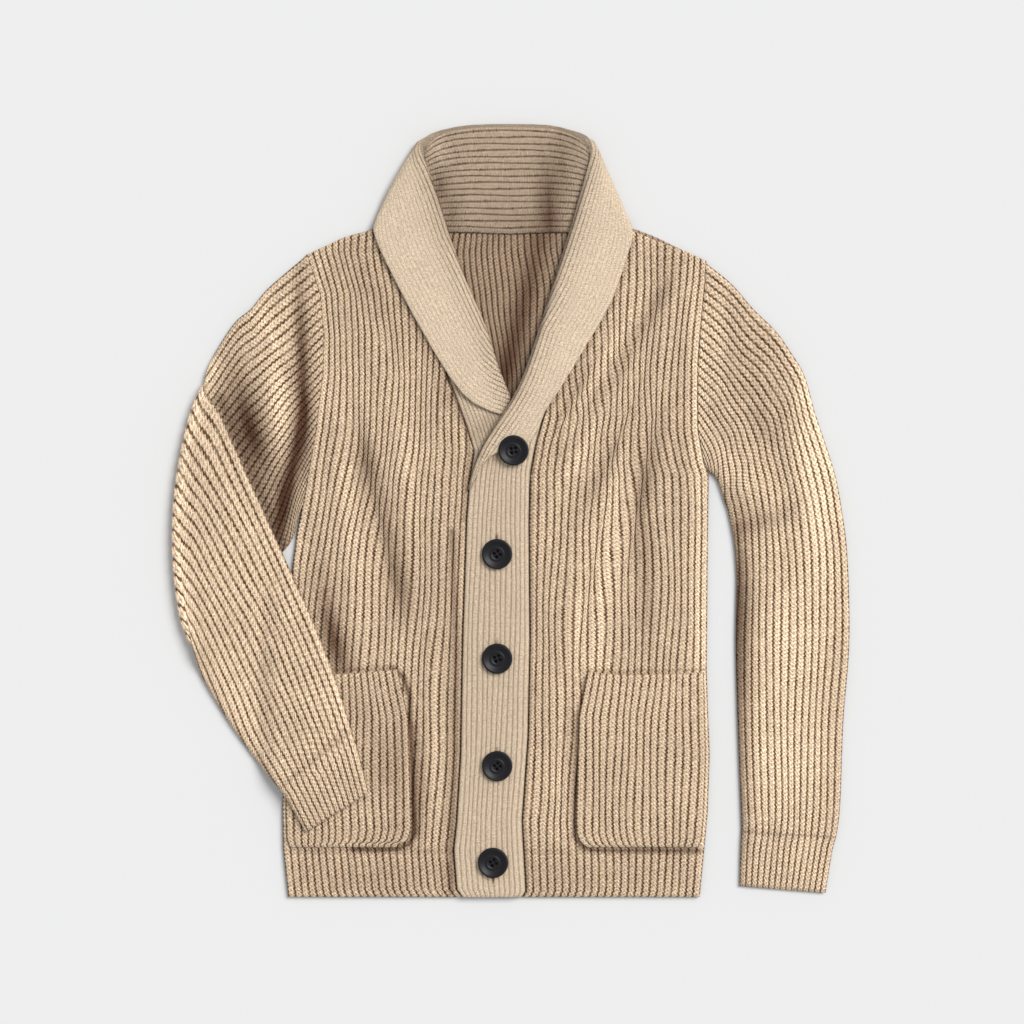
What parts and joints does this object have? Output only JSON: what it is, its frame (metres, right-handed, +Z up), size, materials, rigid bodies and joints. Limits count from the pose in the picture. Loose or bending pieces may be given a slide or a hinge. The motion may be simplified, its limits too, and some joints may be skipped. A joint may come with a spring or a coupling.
{
  "type": "shawl collar cardigan",
  "caption": "Rib-knit shawl collar cardigan laid flat, with a buttoned front band, patch pockets and a sleeve folded over the front.",
  "frame": {"origin": "middle of the footprint, on the surface that the garment lies on", "axes": "+X towards the wearer's left, +Y from the hem towards the collar, +Z up, out of the front of the garment"},
  "size_m": [0.6758, 0.7758, 0.0167],
  "materials": {
    "body_knit": "matt heathered beige wool blend, chunky half-cardigan rib about 7 mm wide",
    "band_knit": "matt heathered beige wool blend, fine rib about 5 mm wide",
    "button_black": "polished black horn-like resin"
  },
  "bodies": {
    "root": {"back": "body_knit", "front_left": "body_knit", "front_right": "body_knit", "sleeve_left": "body_knit", "sleeve_right": "body_knit", "collar": "band_knit", "buttonhole_band": "band_knit", "button_band": "band_knit", "pocket_left": "body_knit", "pocket_right": "body_knit", "button_1": "button_black", "button_2": "button_black", "button_3": "button_black", "button_4": "button_black", "button_5": "button_black"}
  },
  "joints": []
}
